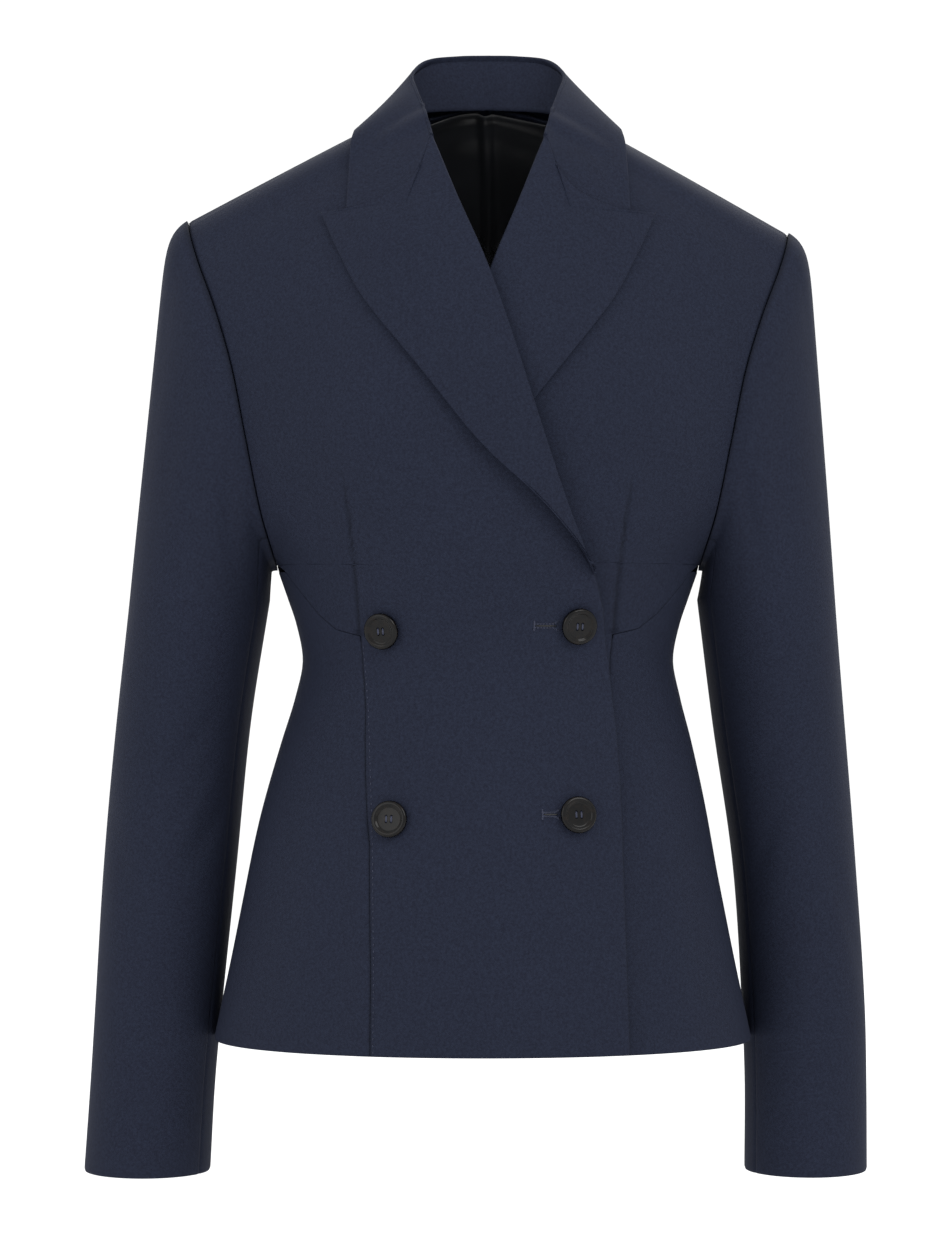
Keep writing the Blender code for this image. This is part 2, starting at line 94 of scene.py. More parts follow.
# The torso's rows: height and depths at the centre line, then where the row ends at the side.
BODY_COLUMNS = ("height", "front", "back", "side_x", "side_front", "side_back", "side_z", "arc")
BODY = np.array(
    [
        (-0.605, -0.1270, 0.125, 0.1772, 0.005, 0.005, -0.605, 90),
        (-0.555, -0.1215, 0.117, 0.1665, 0.005, 0.005, -0.555, 90),
        (-0.505, -0.1165, 0.108, 0.1565, 0.005, 0.005, -0.505, 90),
        (-0.455, -0.1110, 0.099, 0.1466, 0.005, 0.005, -0.455, 90),
        (-0.410, -0.1055, 0.091, 0.1353, 0.005, 0.005, -0.410, 90),
        (-0.380, -0.1025, 0.086, 0.1268, 0.005, 0.005, -0.380, 90),
        (-0.356, -0.1010, 0.083, 0.1222, 0.005, 0.005, -0.356, 90),
        (-0.332, -0.1040, 0.083, 0.1266, 0.005, 0.005, -0.332, 90),
        (-0.3165, -0.1075, 0.085, 0.1318, 0.005, 0.005, -0.3165, 90),
        (-0.2955, -0.1130, 0.088, 0.1390, 0.005, 0.005, -0.2955, 90),
        (-0.275, -0.1170, 0.091, 0.1405, -0.022, 0.032, -0.2875, 80),
        (-0.226, -0.1210, 0.097, 0.1476, -0.050, 0.062, -0.2605, 68),
        (-0.157, -0.1180, 0.102, 0.1574, -0.062, 0.073, -0.2105, 60),
        (-0.088, -0.1030, 0.097, 0.1670, -0.060, 0.069, -0.1630, 52),
        (-0.038, -0.0830, 0.083, 0.1785, -0.050, 0.057, -0.1250, 44),
        (-0.002, -0.0570, 0.064, 0.1905, -0.030, 0.038, -0.0930, 34),
        (0.0185, -0.0290, 0.040, 0.1965, -0.011, 0.018, -0.0735, 24),
        (0.0246, 0.0050, 0.005, 0.1980, 0.005, 0.005, -0.0670, 16),
    ]
)

# Lines drawn on the front, in front elevation: across from the centre, and height.
ROLL_LINE = np.array(
    [(0.0701, -0.3215), (0.0649, -0.3000), (0.0579, -0.2824), (0.0471, -0.2523), (0.0285, -0.1941),
     (0.0016, -0.1139), (-0.0200, -0.0600), (-0.0359, -0.0182)]
)
FRONT_EDGE = np.array(
    [(0.0867, -0.6060), (0.0822, -0.4721), (0.0776, -0.3960), (0.0733, -0.3575), (0.0701, -0.3215)]
)
NECK_LINE = np.array([(-0.0365, -0.0190), (-0.0515, -0.0055), (-NECK_HALF - 0.001, 0.0050)])
LAPEL_EDGE = np.array(
    [(0.0690, -0.3190), (0.0640, -0.3001), (0.0578, -0.2860), (0.0310, -0.2525), (-0.0045, -0.2192),
     (-0.0340, -0.1836), (-0.0753, -0.1308), (-0.0935, -0.0977), (-0.1068, -0.0691)]
)
LAPEL_TOP = np.array([(-0.1068, -0.0691), (-0.0907, -0.0700), (-0.0508, -0.0685)])
FRONT_SEAM = np.array(
    [(-0.0736, -0.6060), (-0.0732, -0.5498), (-0.0738, -0.4731), (-0.0762, -0.3870),
     (-0.0780, -0.3600), (-0.0800, -0.3390)]
)
BUST_SEAM = np.array(
    [(-0.0820, -0.3385), (-0.0966, -0.3351), (-0.1093, -0.3255), (-0.1188, -0.3150),
     (-0.1322, -0.2985), (-0.1376, -0.2940)]
)
DART = np.array(  # from the bust seam up to the dart's point
    [(-0.0802, -0.3400), (-0.0811, -0.3250), (-0.0826, -0.3068), (-0.0874, -0.2632),
     (-0.0926, -0.2293)]
)
COLLAR_ROLL = np.array(
    [(-0.0368, -0.0665, -0.0170), (-0.0412, -0.0410, 0.0020), (-0.0470, -0.0130, 0.0195),
     (-0.0505, 0.0160, 0.0335), (-0.0410, 0.0430, 0.0460), (-0.0210, 0.0550, 0.0500),
     (0.0000, 0.0575, 0.0508)]
)
COLLAR_EDGE = (
    ("front", -0.0898, -0.0693), ("front", -0.0885, -0.0420), ("front", -0.0862, -0.0180),
    ("back", -0.0815, -0.0100), ("back", -0.0650, -0.0125), ("back", -0.0350, -0.0135),
    ("back", 0.0000, -0.0135),
)
GORGE = (-0.0511, -0.0680)
GORGE_KNEE = 0.58  # where along the collar's end the gorge seam turns

# Sleeves: height, distance of the middle from the centre, half width, depth and half depth.
RIGHT_SLEEVE = np.array(
    [(-0.3165, 0.1910, 0.0449, 0.012, 0.0615), (-0.3964, 0.2026, 0.0433, 0.026, 0.0580),
     (-0.4928, 0.2121, 0.0427, 0.034, 0.0535), (-0.5887, 0.2197, 0.0406, 0.030, 0.0485),
     (-0.6361, 0.2229, 0.0398, 0.024, 0.0465), (-0.6940, 0.2260, 0.0401, 0.016, 0.0450)]
)
LEFT_SLEEVE = np.array(
    [(-0.3165, 0.1845, 0.0441, 0.012, 0.0615), (-0.3964, 0.1937, 0.0424, 0.028, 0.0580),
     (-0.4928, 0.2050, 0.0394, 0.038, 0.0535), (-0.5887, 0.2112, 0.0394, 0.037, 0.0485),
     (-0.6361, 0.2120, 0.0389, 0.030, 0.0465), (-0.6940, 0.2112, 0.0390, 0.020, 0.0450)]
)
CAP_ROLL = 0.0118
LAPEL_FOOT = 0.15  # share of the roll line where the lapel starts to turn back
UNDER_SLEEVE = (150.0, 240.0)

BUTTONS = {
    "button_right_top": (-0.0643, -0.3350),
    "button_right_low": (-0.0601, -0.4568),
    "button_left_top": (0.0537, -0.3318),
    "button_left_low": (0.0534, -0.4539),
}
BUTTONHOLES = ((0.0268, 0.0423, -0.3320), (0.0321, 0.0430, -0.4533))  # from x, to x, height

# Soft creases, each a long mound or trough: across, height, lean from upright in degrees, half
# length, half width, and how far it stands out (in is negative).
FRONT_CREASES = (
    (-0.119, -0.232, 24, 0.050, 0.010, -0.0013),
    (-0.131, -0.283, -38, 0.026, 0.006, -0.0014),
    (-0.104, -0.356, 82, 0.028, 0.007, -0.0009),
    (-0.096, -0.378, 70, 0.024, 0.006, 0.0007),
    (-0.020, -0.352, 88, 0.045, 0.008, -0.0007),
    (0.012, -0.318, 78, 0.034, 0.007, 0.0006),
    (-0.118, -0.505, 7, 0.085, 0.016, 0.0017),
    (-0.092, -0.530, 4, 0.070, 0.012, -0.0010),
    (-0.030, -0.545, 2, 0.060, 0.020, 0.0009),
    (0.028, -0.520, -4, 0.075, 0.017, -0.0009),
    (0.066, -0.300, -20, 0.035, 0.006, -0.0008),
    (0.108, -0.240, -22, 0.048, 0.010, -0.0012),
    (0.127, -0.287, 36, 0.024, 0.006, -0.0014),
    (0.101, -0.354, -80, 0.026, 0.006, -0.0009),
    (0.121, -0.500, -9, 0.090, 0.015, 0.0018),
    (0.100, -0.540, -5, 0.060, 0.011, -0.0011),
    (-0.135, -0.120, 12, 0.045, 0.011, -0.0009),
    (0.132, -0.135, -10, 0.050, 0.012, -0.0010),
)
BACK_CREASES = (
    (-0.098, -0.205, 16, 0.060, 0.013, -0.0014),
    (0.104, -0.220, -14, 0.055, 0.012, -0.0013),
    (-0.060, -0.345, 80, 0.040, 0.008, -0.0011),
    (0.052, -0.360, -84, 0.045, 0.009, -0.0012),
    (0.015, -0.328, 86, 0.050, 0.007, 0.0007),
    (-0.105, -0.500, 8, 0.085, 0.018, 0.0020),
    (-0.045, -0.520, 3, 0.075, 0.016, -0.0012),
    (0.050, -0.535, -4, 0.065, 0.017, 0.0014),
    (0.110, -0.490, -9, 0.090, 0.016, 0.0019),
    (-0.130, -0.285, -30, 0.028, 0.007, -0.0014),
    (0.128, -0.290, 32, 0.026, 0.007, -0.0013),
    (0.020, -0.060, 88, 0.045, 0.012, -0.0009),
)
RIGHT_SLEEVE_CREASES = (  # across is metres round the sleeve from its outside, towards the front
    (0.052, -0.190, 8, 0.060, 0.010, -0.0012),
    (0.098, -0.255, -14, 0.050, 0.009, -0.0015),
    (0.086, -0.420, 36, 0.036, 0.008, -0.0015),
    (0.104, -0.447, 30, 0.030, 0.007, 0.0010),
    (0.112, -0.470, 38, 0.028, 0.007, -0.0013),
    (0.048, -0.498, -28, 0.042, 0.010, -0.0009),
    (0.078, -0.610, 14, 0.048, 0.010, -0.0008),
    (0.012, -0.350, 5, 0.080, 0.012, -0.0007),
    (0.226, -0.300, 12, 0.055, 0.012, -0.0012),
    (0.238, -0.455, -34, 0.034, 0.010, 0.0012),
    (0.256, -0.480, -26, 0.038, 0.010, -0.0011),
)
LEFT_SLEEVE_CREASES = (
    (0.058, -0.205, -9, 0.055, 0.010, -0.0012),
    (0.092, -0.262, 12, 0.050, 0.010, -0.0014),
    (0.090, -0.412, -30, 0.038, 0.009, -0.0015),
    (0.108, -0.440, -38, 0.030, 0.007, 0.0009),
    (0.106, -0.476, -32, 0.030, 0.008, -0.0013),
    (0.040, -0.520, 24, 0.045, 0.010, -0.0010),
    (0.074, -0.600, -12, 0.050, 0.011, -0.0008),
    (0.016, -0.370, -6, 0.075, 0.012, -0.0008),
    (0.230, -0.315, -10, 0.050, 0.012, -0.0012),
    (0.244, -0.462, 30, 0.034, 0.009, 0.0012),
    (0.252, -0.492, 36, 0.036, 0.010, -0.0010),
)

MESH_COLUMNS = 110
TAU = 2 * math.pi


def smooth(at, knots, values):
    """Cubic pieces through the values at the knots, each slope the mean of its two sides."""
    knots, values = np.asarray(knots, float), np.asarray(values, float)
    at = np.clip(at, knots[0], knots[-1])
    step = np.diff(knots)
    secant = np.diff(values, axis=0) / step.reshape(-1, *[1] * (values.ndim - 1))
    slope = np.concatenate([secant[:1], (secant[1:] + secant[:-1]) / 2, secant[-1:]])
    i = np.clip(np.searchsorted(knots, at, side="right") - 1, 0, len(step) - 1)
    wide = (...,) + (None,) * (values.ndim - 1)
    size, f = step[i][wide], ((at - knots[i]) / step[i])[wide]
    start, end = values[i], values[i + 1]
    return (
        start * (1 + 2 * f) * (1 - f) ** 2
        + slope[i] * size * f * (1 - f) ** 2
        + end * f * f * (3 - 2 * f)
        + slope[i + 1] * size * f * f * (f - 1)
    )


def ease(value):
    """3v2 - 2v3 between 0 and 1, and flat outside."""
    value = np.clip(value, 0.0, 1.0)
    return value * value * (3 - 2 * value)


def torso(face, u, h):
    """The body: across is the sine of u's share of the row's arc, depth its cosine, and a row
    drops from the centre to the side by the square of across, straighter near the shoulders."""
    u, h = np.broadcast_arrays(np.asarray(u, float), np.asarray(h, float))
    row = dict(zip(BODY_COLUMNS[1:], np.moveaxis(smooth(h, BODY[:, 0], BODY[:, 1:]), -1, 0)))
    arc = np.radians(row["arc"])
    across = np.sin(np.abs(u) * arc) / np.sin(arc)
    bow = np.clip((np.cos(u * arc) - np.cos(arc)) / (1 - np.cos(arc)), 0, 1)
    bow = bow ** (1 - 0.12 * (arc / (math.pi / 2)) ** 4)
    rise = np.clip((h - UNDERARM) / (SHOULDER - UNDERARM), 0, 1)
    side_y = row["side_" + face]
    x = np.sign(u) * row["side_x"] * across
    y = side_y + (row[face] - side_y) * bow
    straight = (np.hypot(across, NECK_ROUND) - NECK_ROUND) / (math.hypot(1, NECK_ROUND) - NECK_ROUND)
    z = h + (row["side_z"] - h) * (across**2 * (1 - rise) + straight * rise)
    z = z - SHOULDER_DROP * rise**2 * np.clip(x, 0, None) / BODY[-1, 3]
    if face == "front":
        y = y - BUST_FULLNESS * np.exp(-(((np.abs(x) - 0.08) / 0.045) ** 2) - ((z + 0.195) / 0.055) ** 2)
    x = x - LEAN * ease((-0.36 - h) / 0.14)
    return np.stack([x, y, z], axis=-1)


def unit(vectors):
    return vectors / np.maximum(np.linalg.norm(vectors, axis=-1, keepdims=True), 1e-12)


def outward(face, u, h, tiny=1e-4):
    """The cross product of the surface's two slopes."""
    u = np.clip(u, -1 + tiny, 1 - tiny)
    h = np.clip(h, HEM + tiny, SHOULDER - tiny)
    along = torso(face, u + tiny, h) - torso(face, u - tiny, h)
    up = torso(face, u, h + tiny) - torso(face, u, h - tiny)
    return unit(np.cross(along, up) if face == "front" else np.cross(up, along))


def off_torso(face, u, h, lift):
    return torso(face, u, h) + outward(face, u, h) * np.asarray(lift)[..., None]


def locate(face, x, z):
    """The u and h whose point on the torso has this x and z, by repeated correction."""
    x, z = np.broadcast_arrays(np.asarray(x, float), np.asarray(z, float))
    h, u = z.copy(), x / 0.2
    for _ in range(60):
        at = torso(face, u, h)
        u = np.clip(u + (x - at[..., 0]) / 0.25, -1, 1)
        h = np.clip(h + (z - at[..., 2]) * 0.7, HEM, SHOULDER)
    return u, h


def lap_lift(u, h):
    """How far the right front stands off the left one, fading to its side and its shoulder."""
    at = torso("front", u, h)
    return LAP_LIFT * ease((at[..., 0] + 0.13) / 0.085) * ease((-0.03 - at[..., 2]) / 0.07)


def line_on_front(points, mirror=False):
    """A drawn line as (h, u) in rising order, mirrored to the left front if asked."""
    x = -points[:, 0] if mirror else points[:, 0]
    u, h = locate("front", x, points[:, 1])
    order = np.argsort(h)
    return h[order], u[order]


def creases(table, across, height, strength):
    """A sum of long bell shapes, each turned by its lean."""
    total = np.zeros(np.broadcast(across, height).shape)
    for x, z, lean, length, width, depth in table:
        turn = math.radians(lean)
        along = (across - x) * math.sin(turn) + (height - z) * math.cos(turn)
        aside = (across - x) * math.cos(turn) - (height - z) * math.sin(turn)
        total += depth * np.exp(-((along / length) ** 2) - (aside / width) ** 2)
    return total * strength


def rim(distance, depth=0.0006, reach=0.0020):
    """The turned in edge of a piece: down by depth at the edge, easing out over reach."""
    return -depth * (1 - ease(distance / reach))


def spread(count, near=0.012):
    """Shares from 0 to 1 with extra ones by both ends, so that a turned in edge is round."""
    ends = near * np.array([0, 0.12, 0.3, 0.55])
    return np.concatenate([ends, np.linspace(near, 1 - near, count), 1 - ends[::-1]])


def shell(name, points, look, thickness, flip=False, seam=None):
    """A grid of points as a smooth wall of cloth. Its UV map is in metres along the two
    directions, and its seam attribute is 1 in a seam or dart and 0 on open cloth; the wool paints shade into its
    colour by it."""
    rows, columns = points.shape[:2]
    index = np.arange(rows * columns).reshape(rows, columns)
    quads = np.stack([index[:-1, :-1], index[:-1, 1:], index[1:, 1:], index[1:, :-1]], axis=-1)
    quads = quads.reshape(-1, 4)
    quads = quads[:, ::-1] if flip else quads
    mesh = bpy.data.meshes.new(name)
    mesh.from_pydata(points.reshape(-1, 3).tolist(), [], quads.tolist())
    wide = np.linalg.norm(np.diff(points[rows // 2], axis=0), axis=-1)
    tall = np.linalg.norm(np.diff(points[:, columns // 2], axis=0), axis=-1)
    wide, tall = np.concatenate([[0], np.cumsum(wide)]), np.concatenate([[0], np.cumsum(tall)])
    uv = np.stack(np.broadcast_arrays(wide[None, :], tall[:, None]), axis=-1).reshape(-1, 2)
    loops = np.empty(len(mesh.loops), np.int32)
    mesh.loops.foreach_get("vertex_index", loops)
    mesh.uv_layers.new(name="cloth").data.foreach_set("uv", uv[loops].astype(np.float32).ravel())
    seam = np.zeros((rows, columns)) if seam is None else np.broadcast_to(seam, (rows, columns))
    seam_shade_mask = mesh.attributes.new("seam", "FLOAT", "POINT")
    seam_shade_mask.data.foreach_set("value", seam.astype(np.float32).ravel())
    mesh.shade_smooth()
    made = place(name, mesh, look)
    wall = made.modifiers.new("wall", "SOLIDIFY")
    wall.thickness = thickness
    wall.offset = -1
    return made


def place(name, mesh, look):
    """Puts a finished mesh into the scene at the origin, riding on the blazer."""
    mesh.materials.append(look)
    made = bpy.data.objects.new(name, mesh)
    bpy.context.scene.collection.objects.link(made)
    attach(made, "root")
    return made


def cloth_piece(node, made):
    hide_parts(node)
    return made


def joined(name, parts, look):
    """Many small closed shapes as one mesh. parts holds (points, faces) pairs."""
    points, faces, start = [], [], 0
    for some, sides in parts:
        points.append(some)
        faces += [tuple(start + i for i in side) for side in sides]
        start += len(some)
    mesh = bpy.data.meshes.new(name)
    mesh.from_pydata(np.concatenate(points).tolist(), [], faces)
    mesh.shade_smooth()
    return place(name, mesh, look)


def stitch(middle, along, up, length, radius):
    """A thread's grain: an ellipsoid of 5 rings of 6, long along the thread."""
    side = np.cross(up, along)
    turns = np.linspace(0, TAU, 6, endpoint=False)
    tilt = np.linspace(-0.5, 0.5, 5) * math.pi * 0.86
    ring = np.cos(tilt)[:, None, None] * (
        np.cos(turns)[None, :, None] * side + np.sin(turns)[None, :, None] * up
    )
    points = middle + np.sin(tilt)[:, None, None] * along * length / 2 + ring * radius
    index = np.arange(30).reshape(5, 6)
    after = np.roll(index, -1, axis=1)
    sides = np.stack([index[:-1], after[:-1], after[1:], index[1:]], axis=-1).reshape(-1, 4)
    faces = [tuple(side) for side in sides.tolist()]
    return points.reshape(-1, 3), faces + [tuple(index[0, ::-1].tolist()), tuple(index[-1].tolist())]


# Materials


def linear(code):
    """An sRGB hex colour as linear red, green, blue and full alpha."""
    parts = [int(code[i : i + 2], 16) / 255 for i in (0, 2, 4)]
    return (*[c / 12.92 if c <= 0.04045 else ((c + 0.055) / 1.055) ** 2.4 for c in parts], 1.0)


def add_node(tree, kind, links=(), **settings):
    """A node with its settings. A link is (input, the node and output that feed it), and a
    setting whose name is an input's sets that input."""
    node = tree.nodes.new(kind)
    for key, value in settings.items():
        if hasattr(node, key):
            setattr(node, key, value)
        else:
            node.inputs[key.replace("_", " ")].default_value = value
    for key, (source, output) in links:
        tree.links.new(source.outputs[output], node.inputs[key])
    return node


def new_material(name):
    made = bpy.data.materials.new(name)
    made.use_nodes = True
    made.node_tree.nodes.clear()
    return made, made.node_tree


def finish_material(tree, shader):
    add_node(tree, "ShaderNodeOutputMaterial", links=[("Surface", (shader, "BSDF"))])


def wool_material(props):
    """Worsted wool twill, pressed: matt, with a fine slant of ribs, a slight melange between
    the yarns and a soft bloom of fibre ends at grazing angles."""
    made, tree = new_material("worsted navy wool twill")
    coord = add_node(tree, "ShaderNodeTexCoord")
    turned = add_node(tree, "ShaderNodeMapping", [("Vector", (coord, "UV"))])
    turned.inputs["Rotation"].default_value = (0, 0, math.radians(63))
    # A twill rib is about 0.5 mm apart; it is drawn at 1.3 mm, the finest that shows.
    ribs = add_node(tree, "ShaderNodeTexWave", [("Vector", (turned, "Vector"))],
                    Scale=TAU / 20 / 0.0013, Distortion=1.2, Detail=1.0)
    ribs.inputs["Detail Scale"].default_value = 1.5
    fibre = add_node(tree, "ShaderNodeTexNoise", [("Vector", (coord, "Object"))],
                     Scale=1 / 0.0016, Detail=3.0, Roughness=0.6)
    cloud = add_node(tree, "ShaderNodeTexNoise", [("Vector", (coord, "Object"))],
                     Scale=1 / 0.09, Detail=2.0)
    melange = add_node(tree, "ShaderNodeValToRGB", [("Fac", (fibre, "Fac"))])
    melange.color_ramp.elements[0].position = 0.32
    melange.color_ramp.elements[0].color = linear(props.wool_dark)
    melange.color_ramp.elements[1].position = 0.70
    melange.color_ramp.elements[1].color = linear(props.wool_light)
    tone = add_node(tree, "ShaderNodeMapRange", [("Value", (cloud, "Fac"))])
    tone.inputs["To Min"].default_value = 0.94
    tone.inputs["To Max"].default_value = 1.06
    shaded = add_node(tree, "ShaderNodeMix", data_type="RGBA", blend_type="MULTIPLY")
    shaded.inputs[0].default_value = 1.0
    tree.links.new(melange.outputs["Color"], shaded.inputs[6])
    tree.links.new(tone.outputs["Result"], shaded.inputs[7])
    # Painted shade: where the seam attribute is high, the colour is mixed towards the seam shade colour. This
    # darkens the wool along seams, darts and the sleeves' armhole seam.
    seam_shade_mask = add_node(tree, "ShaderNodeAttribute", attribute_name="seam")
    deep = add_node(tree, "ShaderNodeMix", data_type="RGBA", blend_type="MIX")
    tree.links.new(seam_shade_mask.outputs["Fac"], deep.inputs[0])
    tree.links.new(shaded.outputs[2], deep.inputs[6])
    deep.inputs[7].default_value = linear(props.seam_painted_shade)
    height = add_node(tree, "ShaderNodeMath", [(0, (ribs, "Fac")), (1, (fibre, "Fac"))],
                      operation="ADD")
    bump = add_node(tree, "ShaderNodeBump", [("Height", (height, "Value"))],
                    Strength=0.22, Distance=0.00022)
    shader = add_node(tree, "ShaderNodeBsdfPrincipled", [("Normal", (bump, "Normal"))],
                      Roughness=0.82, IOR=1.45)
    shader.inputs["Specular IOR Level"].default_value = 0.12
    shader.inputs["Sheen Weight"].default_value = 0.03
    shader.inputs["Sheen Roughness"].default_value = 0.45
    shader.inputs["Sheen Tint"].default_value = linear("7E86A8")
    tree.links.new(deep.outputs[2], shader.inputs["Base Color"])
    finish_material(tree, shader)
    return made


def satin_material(props):
    """Viscose lining satin, calendered: smooth and nearly black, with a soft long highlight."""
    made, tree = new_material("black viscose lining satin")
    coord = add_node(tree, "ShaderNodeTexCoord")
    # Satin floats run across; a 3 mm ripple stands for the soft waves of loose lining.
    ripple = add_node(tree, "ShaderNodeTexNoise", [("Vector", (coord, "Object"))],
                      Scale=1 / 0.03, Detail=2.0)
    # Painted shade: the colour runs from 0B0C0F in the ripple's hollows up to the lining colour on its crests.
    colour = add_node(tree, "ShaderNodeValToRGB", [("Fac", (ripple, "Fac"))])
    colour.color_ramp.elements[0].color = linear("0B0C0F")
    colour.color_ramp.elements[1].color = linear(props.lining_colour)
    bump = add_node(tree, "ShaderNodeBump", [("Height", (ripple, "Fac"))],
                    Strength=0.35, Distance=0.004)
    shader = add_node(tree, "ShaderNodeBsdfPrincipled",
                      [("Normal", (bump, "Normal")), ("Base Color", (colour, "Color"))],
                      Roughness=0.38, IOR=1.47)
    shader.inputs["Sheen Weight"].default_value = 0.05
    finish_material(tree, shader)
    return made


def horn_material(props):
    """Dark horn look polyester, turned and polished: near black with faint brown marbling."""
    made, tree = new_material("polished dark horn look polyester")
    coord = add_node(tree, "ShaderNodeTexCoord")
    veins = add_node(tree, "ShaderNodeTexNoise", [("Vector", (coord, "Object"))],
                     Scale=1 / 0.006, Detail=4.0, Distortion=1.5)
    colour = add_node(tree, "ShaderNodeValToRGB", [("Fac", (veins, "Fac"))])
    colour.color_ramp.elements[0].position = 0.45
    colour.color_ramp.elements[0].color = linear(props.button_colour)
    colour.color_ramp.elements[1].position = 0.85
    colour.color_ramp.elements[1].color = linear("17110D")
    shader = add_node(tree, "ShaderNodeBsdfPrincipled", [("Base Color", (colour, "Color"))],
                      Roughness=0.20, IOR=1.5)
    shader.inputs["Specular IOR Level"].default_value = 0.14
    shader.inputs["Coat Weight"].default_value = 0.10
    shader.inputs["Coat Roughness"].default_value = 0.06
    finish_material(tree, shader)
    return made


def thread_material(name, code):
    """Twisted polyester thread: fine ridges and a dull gleam."""
    made, tree = new_material(name)
    coord = add_node(tree, "ShaderNodeTexCoord")
    twist = add_node(tree, "ShaderNodeTexNoise", [("Vector", (coord, "Object"))],
                     Scale=1 / 0.0005, Detail=1.0)
    bump = add_node(tree, "ShaderNodeBump", [("Height", (twist, "Fac"))],
                    Strength=0.3, Distance=0.0001)
    shader = add_node(tree, "ShaderNodeBsdfPrincipled", [("Normal", (bump, "Normal"))],
                      Roughness=0.55, IOR=1.5)
    shader.inputs["Base Color"].default_value = linear(code)
    finish_material(tree, shader)
    return made


def look(kind):
    """The material of that kind, made the first time it is asked for."""
    props = bpy.context.scene.blazer
    makers = {
        "wool": lambda: wool_material(props),
        "satin": lambda: satin_material(props),
        "horn": lambda: horn_material(props),
        "thread": lambda: thread_material("navy sewing thread", props.thread_colour),
        # The slit's near black colour is painted shade in the opening of each buttonhole.
        "slit": lambda: thread_material("painted shade in buttonhole slit", "050608"),
    }
    key = "blazer_look_" + kind
    if key not in bpy.context.scene:
        bpy.context.scene[key] = makers[kind]().name
    return bpy.data.materials[bpy.context.scene[key]]


class BlazerSettings(bpy.types.PropertyGroup):
    """Sizes and colours that a user would change."""

    crease_strength: bpy.props.FloatProperty(
        name="Crease strength", description="Depth of every soft crease", default=1.0, min=0, max=2)
    lapel_open: bpy.props.FloatProperty(
        name="Lapel roll", description="How far the right lapel's edge rolls off the front",
        default=LAPEL_OPEN, unit="LENGTH")
    button_radius: bpy.props.FloatProperty(
        name="Button radius", description="Half the width of a front button",
        default=0.01175, unit="LENGTH")
    stitch_gap: bpy.props.FloatProperty(
        name="Stitch spacing", description="From one prick stitch to the next",
        default=0.0042, unit="LENGTH")
    wool_dark: bpy.props.StringProperty(
        name="Wool dark yarn", description="Darker yarn of the wool, as hex", default="181B28")
    wool_light: bpy.props.StringProperty(
        name="Wool light yarn", description="Lighter yarn of the wool, as hex", default="202534")
    # Colour of the painted shade mixed into the wool along seams and darts.
    seam_painted_shade: bpy.props.StringProperty(
        name="Seam shade", description="Wool down in a seam, as hex", default="0A0C12")
    lining_colour: bpy.props.StringProperty(
        name="Lining", description="Lining satin, as hex", default="15171C")
    button_colour: bpy.props.StringProperty(
        name="Button", description="Button body, as hex", default="060607")
    thread_colour: bpy.props.StringProperty(
        name="Thread", description="Sewing thread, as hex", default="2A2F44")


def dart_groove(x, z, mirror):
    """A narrow trough along the dart, its depth fading to nothing at the dart's point."""
    line = DART * (-1 if mirror else 1, 1)
    order = np.argsort(line[:, 1])
    middle = np.interp(z, line[order, 1], line[order, 0])
    low, high = line[order[0], 1], line[order[-1], 1]
    keep = ease((z - low + 0.004) / 0.004) * ease((high - z) / 0.035)
    return keep * np.exp(-(((x - middle) / 0.0011) ** 2))


def front_rows():
    """Rows from hem to shoulder, closest together where the bust seam runs nearly level."""
    return np.concatenate([
        HEM + np.array([0, 0.0004, 0.0010, 0.0018]),
        np.linspace(HEM + 0.003, -0.3400, 62),
        np.linspace(-0.3393, -0.2925, 56),
        np.linspace(-0.2895, SHOULDER - 0.00005, 74),
    ])


def body_panel(face, rows, inner, outer, columns, table, strength, lift=None, mirror=False, dart=False):
    """A panel between two limits of u for each row: the torso moved out by the lap, the creases,
    the dart and the turned in edges. Returns the points and how much each lies in a seam, which sets the painted
    shade in the wool there."""
    share = spread(columns)
    low, high = np.minimum(inner, outer), np.maximum(inner, outer)
    u = low[:, None] + (high - low)[:, None] * share[None, :]
    h = np.repeat(rows[:, None], len(share), axis=1)
    at = torso(face, u, h)
    edge = np.minimum(share, 1 - share)[None, :] * (high - low)[:, None] * QUARTER_ROUND
    out = creases(table, at[..., 0], at[..., 2], strength) * ease(edge / 0.02)
    out = out + rim(edge) + rim(h - HEM, 0.0006, 0.0016)
    # Painted shade: the seam mask rises within about a millimetre of each edge and along the dart, to darken the
    # wool's colour there.
    seam_shade_mask = 0.45 * (1 - ease(edge / 0.0011))
    if dart:
        groove = dart_groove(at[..., 0], at[..., 2], mirror)
        out = out - 0.0011 * groove
        seam_shade_mask = np.maximum(seam_shade_mask, 0.55 * groove)
    if lift:
        out = out + lift(u, h)
    return off_torso(face, u, h, out), seam_shade_mask


